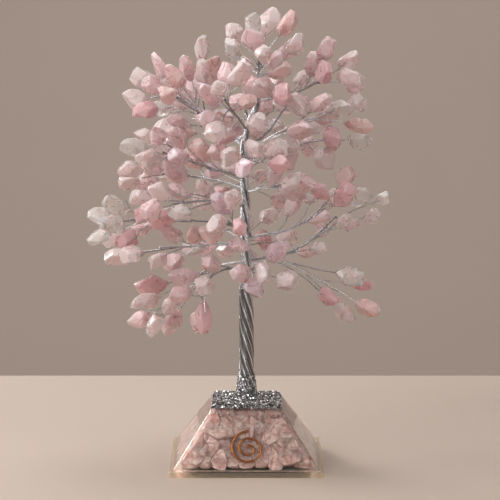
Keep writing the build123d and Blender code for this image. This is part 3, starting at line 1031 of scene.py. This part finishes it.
@dataclass
class Trunk:
    """The bundle of wires glued into the base, the leader above it and the limbs of the outer sprays."""

    gauges: tuple[float, ...] = (0.6 * MM, 0.5 * MM, 0.68 * MM, 0.56 * MM)
    # Painted shade for each strand in turn: some strands darkened to stand in for lying deeper in the bundle's shade.
    painted_shades: tuple[float, ...] = (0.0, 0.7, 0.3, 0.85, 0.1, 0.6, 0.8)
    gather: float = 6 * MM

    def strand_line(self, solid: Island, leader: Leader) -> np.ndarray:
        """One strand's line, from its foot up, with its top gathered to the leader.

        Args:
            solid: The strand's solid.
            leader: The leader.

        Returns:
            The line's points.
        """
        line = tube_line(solid, solid.points[solid.points[:, 2].argmin()], 1.6 * MM)
        way, end = unit(line[-1] - line[-3]), line[-1]
        extra = []
        for share in (0.35, 0.7, 1.0):
            place = end + way * self.gather * share
            middle = leader.nearest(place)
            extra.append(middle + (place - middle) * (1 - 0.55 * share))
        return np.vstack([line, extra])

    def build(self, tree: NodeTree, leader: Leader, silver: bpy.types.Material, shade: bpy.types.Material) -> None:
        """Makes the trunk's strands, the leader's rope and the limbs.

        Args:
            tree: The tree that lays wire.
            leader: The leader.
            silver: The wire's material.
            shade: The material of the wires inside the bundle: a dark finish that is painted shade between the strands.
        """
        wires = WireLines()
        for index, solid in enumerate(islands_of("trunk_strands")):
            painted_shade = self.painted_shades[index % len(self.painted_shades)]
            wires.add(self.strand_line(solid, leader), self.gauges[index % len(self.gauges)], painted_shade=painted_shade)
        values = {"Step": 0.9 * MM, "Sides": 10, "Finish": silver}
        strands = tree.run("trunk_wirework", wires.mesh("trunk_wirework"), values)
        settle_piece(strands, TREE, "silver_wire", "trunk_strands")
        # The core takes the dark finish: painted shade between the strands.
        core = frame["nodes"]["trunk_core"]
        core.data.materials.clear()
        core.data.materials.append(shade)

        rope = WireLines()
        leader.build(rope)
        values = {"Step": 0.7 * MM, "Sides": 7, "Finish": silver}
        settle_piece(tree.run("leader_rope", rope.mesh("leader_rope"), values), TREE, "silver_wire", "leader")

        limbs = WireLines()
        pattern = Spray("limbs", TREE, "")
        for solid in islands_of("limbs"):
            pattern.add_stem(limbs, pattern.stem_line(solid, leader))
        values = {"Step": 0.45 * MM, "Sides": 6, "Finish": silver}
        settle_piece(tree.run("limb_wirework", limbs.mesh("limb_wirework"), values), TREE, "silver_wire", "limbs")


@dataclass
class ResinBase:
    """The cast-resin foot: slab and pyramid in one clear casting, the chips and spiral in it, glitter on top."""

    edge_round: float = 0.7 * MM
    lift: float = 0.2 * MM
    wear: Wear = Wear(growth=2.7, breaks=2, rounds=1, splits=2, edge=0.25 * MM)
    spiral_margin: float = 2.5 * MM
    spiral_reach: float = 15 * MM
    front_margin: float = 0.8 * MM
    side_margin: float = 2.0 * MM
    sunk: float = 1.2 * MM
    wall_slack: float = 1.2 * MM
    copper_gauge: float = 0.7 * MM
    flake_reach: float = 0.5 * MM
    flakes_per_mm2: float = 4.0
    dusted_height: float = 15 * MM

    def __post_init__(self) -> None:
        """Reads the casting's sizes from its nodes."""
        slab_low, slab_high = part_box("base_slab")
        foot_low, foot_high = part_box("base_resin")
        cap_low, cap_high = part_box("glitter_cap")
        self.slab_half, self.slab_top = slab_high.x, slab_high.z
        self.foot_half, self.resin_top = foot_high.x, foot_high.z
        self.top_half = cap_high.x
        self.cap_top = cap_high.z
        self.trunk_points = np.vstack([solid.points for solid in islands_of("trunk_strands")])
        self.trunk_half = self.trunk_radius_at(self.cap_top)

    def stack(self, levels: list[tuple[float, float]]) -> bmesh.types.BMesh:
        """A closed form of square levels.

        Args:
            levels: Half width and height of each level, from the lowest up.

        Returns:
            The form.
        """
        form = bmesh.new()
        rings = []
        for half, height in levels:
            corners = [(-half, -half), (half, -half), (half, half), (-half, half)]
            rings.append([form.verts.new((x, y, height)) for x, y in corners])
        form.faces.new(rings[0][::-1])
        for lower, upper in zip(rings, rings[1:]):
            for index in range(4):
                after = (index + 1) % 4
                form.faces.new([lower[index], lower[after], upper[after], upper[index]])
        form.faces.new(rings[-1])
        form.normal_update()
        return form

    def casting(self, clear: bpy.types.Material, slab_finish: bpy.types.Material) -> bpy.types.Object:
        """The clear pyramid on its slab, in one pour, with softened edges. The slab's diffuse beige is painted light
        for light piped through it.

        Args:
            clear: The pyramid's material.
            slab_finish: The slab's material: the resin's warm tint, with painted light in its diffuse share.

        Returns:
            The piece.
        """
        form = self.stack([(self.slab_half, self.lift), (self.slab_half, self.slab_top),
                           (self.foot_half, self.slab_top), (self.top_half, self.resin_top)])
        edges = [edge for edge in form.edges if edge.calc_face_angle(0) > radians(10)]
        bmesh.ops.bevel(form, geom=edges, offset=self.edge_round, segments=3, profile=0.5, affect="EDGES")
        for face in form.faces:
            face.material_index = int(face.calc_center_median().z < self.slab_top - self.edge_round)
        mesh = bpy.data.meshes.new("resin_casting")
        form.to_mesh(mesh)
        form.free()
        for finish in (clear, slab_finish):
            mesh.materials.append(finish)
        mesh.shade_smooth()
        piece = new_piece("resin_casting", mesh)
        even = piece.modifiers.new("even", "WEIGHTED_NORMAL")
        even.weight = 100
        graph = bpy.context.evaluated_depsgraph_get()
        piece.data = bpy.data.meshes.new_from_object(piece.evaluated_get(graph), depsgraph=graph)
        piece.modifiers.remove(even)
        bpy.data.meshes.remove(mesh)
        return piece

    def walls(self, front_margin: float) -> list[Wall]:
        """The faces of the mould that the cast chips lie against.

        Args:
            front_margin: How far the chips stay behind the front face.

        Returns:
            The faces.
        """
        rise, lean = self.resin_top - self.slab_top, self.foot_half - self.top_half
        found = [Wall(np.array([0, 0, self.slab_top - self.sunk]), np.array([0, 0, -1]), 0.0),
                 Wall(np.array([0, 0, self.resin_top]), np.array([0, 0, 1]), self.wall_slack)]
        for across, along in ((1, 0), (-1, 0), (0, 1), (0, -1)):
            out = unit(np.array([across * rise, along * rise, lean]))
            edge = np.array([across * self.foot_half, along * self.foot_half, self.slab_top])
            margin = front_margin if along < 0 else self.side_margin
            found.append(Wall(edge - out * margin, out, self.wall_slack))
        return found

    def fill(self, quartz: bpy.types.Material) -> None:
        """The chips cast into the resin."""
        middle = islands_of("copper_spiral")[0].middle[0]
        forms = []
        for stone in islands_of("base_stones"):
            behind = abs(stone.middle[0] - middle) < self.spiral_reach
            forms.append((stone, self.walls(self.spiral_margin if behind else self.front_margin)))
        mesh = chip_mesh("cast_chips", forms, CAST_TONES, quartz, self.wear)
        settle_piece(new_piece("cast_chips", mesh), TREE, "rose_quartz", "base_stones")

    def spiral(self, tree: NodeTree, copper: bpy.types.Material) -> None:
        """The copper wire, wound flat from its middle."""
        solid = islands_of("copper_spiral")[0]
        line = eased(tube_line(solid, solid.middle, 0.5 * MM), 6)
        wires = WireLines()
        wires.add(line, self.copper_gauge)
        values = {"Step": 0.4 * MM, "Sides": 12, "Finish": copper}
        piece = tree.run("copper_coil", wires.mesh("copper_coil"), values)
        settle_piece(piece, TREE, "copper_wire", "copper_spiral")

    def strewn_form(self, bed: bpy.types.Mesh) -> bpy.types.Mesh:
        """Where flakes lie: all over the bed, and fewer and fewer up the trunk's foot.

        Args:
            bed: The glitter bed.

        Returns:
            A mesh with a cover share at each point.
        """
        form = bmesh.new()
        form.from_mesh(bed)
        cover = [1.0] * len(form.verts)
        sides, rings = 24, []
        top = self.cap_top + self.dusted_height
        for height in np.linspace(self.cap_top, top, 6):
            radius = self.trunk_radius_at(height) + 0.15 * MM
            turns = [tau * side / sides for side in range(sides)]
            rings.append([form.verts.new((radius * cos(turn), radius * sin(turn), height)) for turn in turns])
            cover.extend([0.7 * (top - height) / self.dusted_height] * sides)
        for lower, upper in zip(rings, rings[1:]):
            for side in range(sides):
                after = (side + 1) % sides
                form.faces.new([lower[side], lower[after], upper[after], upper[side]])
        mesh = bpy.data.meshes.new("strewn_form")
        form.to_mesh(mesh)
        form.free()
        mesh.attributes.new("cover", "FLOAT", "POINT").data.foreach_set("value", cover)
        return mesh

    def trunk_radius_at(self, height: float) -> float:
        """The trunk's radius at a height, where it spreads."""
        points = self.trunk_points[np.abs(self.trunk_points[:, 2] - height) < 1.5 * MM]
        return float(np.hypot(points[:, 0], points[:, 1]).max())

    def glitter(self, flake: bpy.types.Material) -> None:
        """The glitter layer: a rough bed that climbs the trunk, strewn with loose flakes."""
        cells, rise, spread = 56, 2.0 * MM, 1.6 * MM
        level = self.cap_top - rise
        inner = self.top_half - (self.foot_half - self.top_half) * (level - self.resin_top) / (self.resin_top - self.slab_top)
        form = bmesh.new()
        bmesh.ops.create_grid(form, x_segments=cells, y_segments=cells, size=inner)
        for vert in form.verts:
            radius = vert.co.xy.length
            climb = rise * max(0.0, 1 - max(0.0, radius - self.trunk_half) / spread)
            rough = 0.3 * MM * noise.noise(vert.co * 700) + 0.25 * MM * noise.noise(vert.co * 220)
            vert.co.z = level + climb + rough - 0.2 * MM
        rim = [edge for edge in form.edges if edge.is_boundary]
        skirt = bmesh.ops.extrude_edge_only(form, edges=rim)["geom"]
        for vert in (item for item in skirt if isinstance(item, bmesh.types.BMVert)):
            vert.co = Vector((vert.co.x * self.top_half / inner, vert.co.y * self.top_half / inner, self.resin_top))
        bmesh.ops.holes_fill(form, edges=[edge for edge in form.edges if edge.is_boundary], sides=0)
        bmesh.ops.recalc_face_normals(form, faces=form.faces)
        bed = bpy.data.meshes.new("glitter_bed")
        form.to_mesh(bed)
        form.free()
        strewn = self.strewn_form(bed)
        bed.attributes.new("shine", "FLOAT", "POINT").data.foreach_set("value", [0.0] * len(bed.vertices))
        bed.shade_smooth()
        bed.materials.append(flake)
        settle_piece(new_piece("glitter_bed", bed), TREE, "silver_glitter", "glitter_cap")

        tree = NodeTree("strewn_flakes")
        density, reach = tree.size("Density", "Float"), tree.size("Reach", "Float")
        finish = tree.size("Finish", "Material")
        cover = tree.math("MULTIPLY", density, tree.attribute("cover"))
        inputs = {"Mesh": tree.inside.outputs[0], "Density": cover, "Seed": 4}
        spots = tree.add("GeometryNodeDistributePointsOnFaces", inputs)
        hexagon = tree.add("GeometryNodeMeshCircle", {"Vertices": 6, "Radius": 1.0}, fill_type="NGON").outputs[0]
        tilt = tree.add("FunctionNodeEulerToRotation", {0: tree.chance("FLOAT_VECTOR", (-0.9,) * 3, (0.9,) * 3, 6)}).outputs[0]
        inputs = {"Rotation": spots.outputs["Rotation"], "Rotate By": tilt}
        turned = tree.add("FunctionNodeRotateRotation", inputs, rotation_space="LOCAL").outputs[0]
        size = tree.math("MULTIPLY", tree.chance("FLOAT", 0.5, 1.3, 8), reach)
        inputs = {"Points": spots.outputs[0], "Instance": hexagon, "Rotation": turned, "Scale": size}
        flakes = tree.add("GeometryNodeInstanceOnPoints", inputs).outputs[0]
        inputs = {"Geometry": flakes, "Name": "shine", "Value": tree.math("POWER", tree.chance("FLOAT", 0.3, 1.0, 10), 1.6)}
        lit = tree.add("GeometryNodeStoreNamedAttribute", inputs, data_type="FLOAT", domain="INSTANCE").outputs[0]
        tree.close(lit, finish)
        values = {"Density": self.flakes_per_mm2 / MM / MM, "Reach": self.flake_reach, "Finish": flake}
        settle_piece(tree.run("glitter_flakes", strewn, values), TREE, "silver_glitter")

    def build(self, tree: NodeTree, finishes: dict[str, bpy.types.Material]) -> None:
        """Makes the whole foot.

        Args:
            tree: The tree that lays wire.
            finishes: The materials, by slot.
        """
        casting = self.casting(finishes["clear_resin"], finishes["slab_resin_painted_light"])
        settle_piece(casting, TREE, "clear_resin", "base_slab", "base_resin")
        self.fill(finishes["cast_quartz"])
        self.spiral(tree, finishes["copper_wire"])
        self.glitter(finishes["silver_glitter"])


@dataclass
class Studio:
    """Floor, backdrop, lamps and camera."""

    distance: float = 1.4
    height: float = 0.335
    aim: tuple[float, float, float] = (0.00195, 0.0, 0.1205)
    lens: float = 182.7
    floor_colour: tuple[float, float, float, float] = srgb(175, 160, 148)
    wall_colour: tuple[float, float, float, float] = srgb(223, 202, 188)

    def surface(self, name: str, colour: tuple[float, float, float, float]) -> bpy.types.Material:
        """A plain matt surface with a faint mottle."""
        shader = Shader(name)
        mottle = shader.ramp(shader.noise(6.0, 4.0).outputs["Fac"], 0.3, 0.7, 0.0, 0.12)
        mix = shader.add("ShaderNodeMix", data_type="RGBA", blend_type="MULTIPLY")
        mix.inputs[6].default_value = colour
        mix.inputs[7].default_value = (0.85, 0.85, 0.85, 1.0)
        shader.link(mottle.outputs["Result"], mix.inputs[0])
        shader.link(mix.outputs[2], shader.surface.inputs["Base Color"])
        shader.set(Roughness=0.75)
        return shader.material

    def backdrop(self) -> None:
        """A pale floor that ends behind the object, and a plain wall further back."""
        for name, colour, corners in (
            ("floor", self.floor_colour, [(-1.2, -0.4, 0), (1.2, -0.4, 0), (1.2, 0.24, 0), (-1.2, 0.24, 0)]),
            ("wall", self.wall_colour, [(-3, 1.9, -2), (3, 1.9, -2), (3, 1.9, 3), (-3, 1.9, 3)]),
        ):
            mesh = bpy.data.meshes.new(name)
            mesh.from_pydata(corners, [], [(0, 1, 2, 3)])
            mesh.materials.append(self.surface(name, colour))
            new_piece(name, mesh)

    def lamp(self, name: str, place: tuple[float, float, float], sides: tuple[float, float], power: float,
             along: tuple[float, float, float] = (0.0, 0.0, 1.0)) -> None:
        """A soft lamp that points at the object.

        Args:
            name: Its name.
            place: Where it stands.
            sides: Its width and length.
            power: Its power in watts.
            along: The way that its length runs.
        """
        light = bpy.data.lights.new(name, "AREA")
        light.shape = "RECTANGLE"
        light.size, light.size_y = sides
        light.energy = power
        lamp = bpy.data.objects.new(name, light)
        bpy.context.scene.collection.objects.link(lamp)
        back = (Vector(place) - Vector(self.aim)).normalized()
        across = Vector(along).cross(back).normalized()
        turn = Matrix((across, back.cross(across), back)).transposed()
        lamp.location = place
        lamp.rotation_euler = turn.to_euler()

    def build(self) -> None:
        """Sets the scene and its camera."""
        scene = bpy.context.scene
        scene.view_settings.view_transform = "Standard"
        world = bpy.data.worlds.new("studio")
        world.use_nodes = True
        nodes, links = world.node_tree.nodes, world.node_tree.links
        nodes["Background"].inputs["Color"].default_value = srgb(236, 232, 228)
        way = nodes.new("ShaderNodeSeparateXYZ")
        glow = nodes.new("ShaderNodeMapRange")
        for key, value in (("From Min", -0.15), ("From Max", 0.6), ("To Min", 0.08), ("To Max", 0.5)):
            glow.inputs[key].default_value = value
        links.new(nodes.new("ShaderNodeTexCoord").outputs["Generated"], way.inputs[0])
        links.new(way.outputs["Z"], glow.inputs["Value"])
        links.new(glow.outputs["Result"], nodes["Background"].inputs["Strength"])
        scene.world = world
        self.backdrop()
        self.lamp("key", (-0.9, -0.8, 1.0), (0.7, 0.7), 10.5)
        self.lamp("fill", (1.0, -1.0, 0.6), (0.8, 0.8), 5.5)
        self.lamp("top", (0.1, 0.25, 1.2), (0.6, 0.6), 5.0)
        self.lamp("side", (-1.3, 0.05, 0.4), (0.3, 0.5), 4.5)
        self.lamp("window", (-0.83, 0.365, 0.82), (0.14, 1.2), 9.0, (-0.1, 0.85, -0.52))
        lens = bpy.data.cameras.new("camera")
        lens.lens = self.lens
        camera = bpy.data.objects.new("camera", lens)
        scene.collection.objects.link(camera)
        camera.location = (self.aim[0], -self.distance, self.height)
        camera.rotation_euler = (Vector(self.aim) - camera.location).to_track_quat("-Z", "Y").to_euler()
        scene.camera = camera


def main() -> None:
    """Builds the ornament and its studio."""
    logging.basicConfig(level=logging.INFO, format="%(message)s")
    finishes = {
        "rose_quartz": QuartzFinish("rose_quartz", 0.25, 0.45, 0.3).material(),
        "cast_quartz": QuartzFinish("cast_quartz", 0.0, 0.0, 0.36, 230.0, 330.0, srgb(176, 128, 124), 0.62).material(),
        "clear_resin": ResinFinish("clear_resin", srgb(250, 249, 242), 1.0, 0.03).material(),
        # The slab's resin: partly its warm tint, partly painted light, a diffuse beige standing in for light piped
        # through the clear slab.
        "slab_resin_painted_light": ResinFinish("slab_resin_painted_light", srgb(222, 206, 180), 0.8, 0.1).material(),
        "silver_wire": WireFinish("silver_wire", srgb(236, 236, 238), srgb(200, 200, 204), 0.2).material(),
        # A dark silver: painted shade for the trunk's core between the strands.
        "shaded_wire": WireFinish("shaded_wire", srgb(92, 90, 90), srgb(60, 58, 58), 0.4).material(),
        "copper_wire": WireFinish("copper_wire", srgb(190, 120, 58), srgb(142, 84, 40), 0.26).material(),
        "silver_glitter": GlitterFinish().material(),
    }
    tree = laid_wire()
    leader = Leader()
    Studio().build()
    ResinBase().build(tree, finishes)
    Trunk().build(tree, leader, finishes["silver_wire"], finishes["shaded_wire"])
    bodies = frame["record"]["behaviour"]["bodies"]
    body_of = {node: body for body, nodes in bodies.items() for node in nodes}
    for name, tones in SPRAY_TONES.items():
        spray = Spray(name, body_of[f"{name}_wires"], tones)
        spray.growth = SNUG_GROWTH.get(name, spray.growth)
        spray.build(tree, leader, finishes["silver_wire"], finishes["rose_quartz"])


if __name__ == "__main__":
    main()
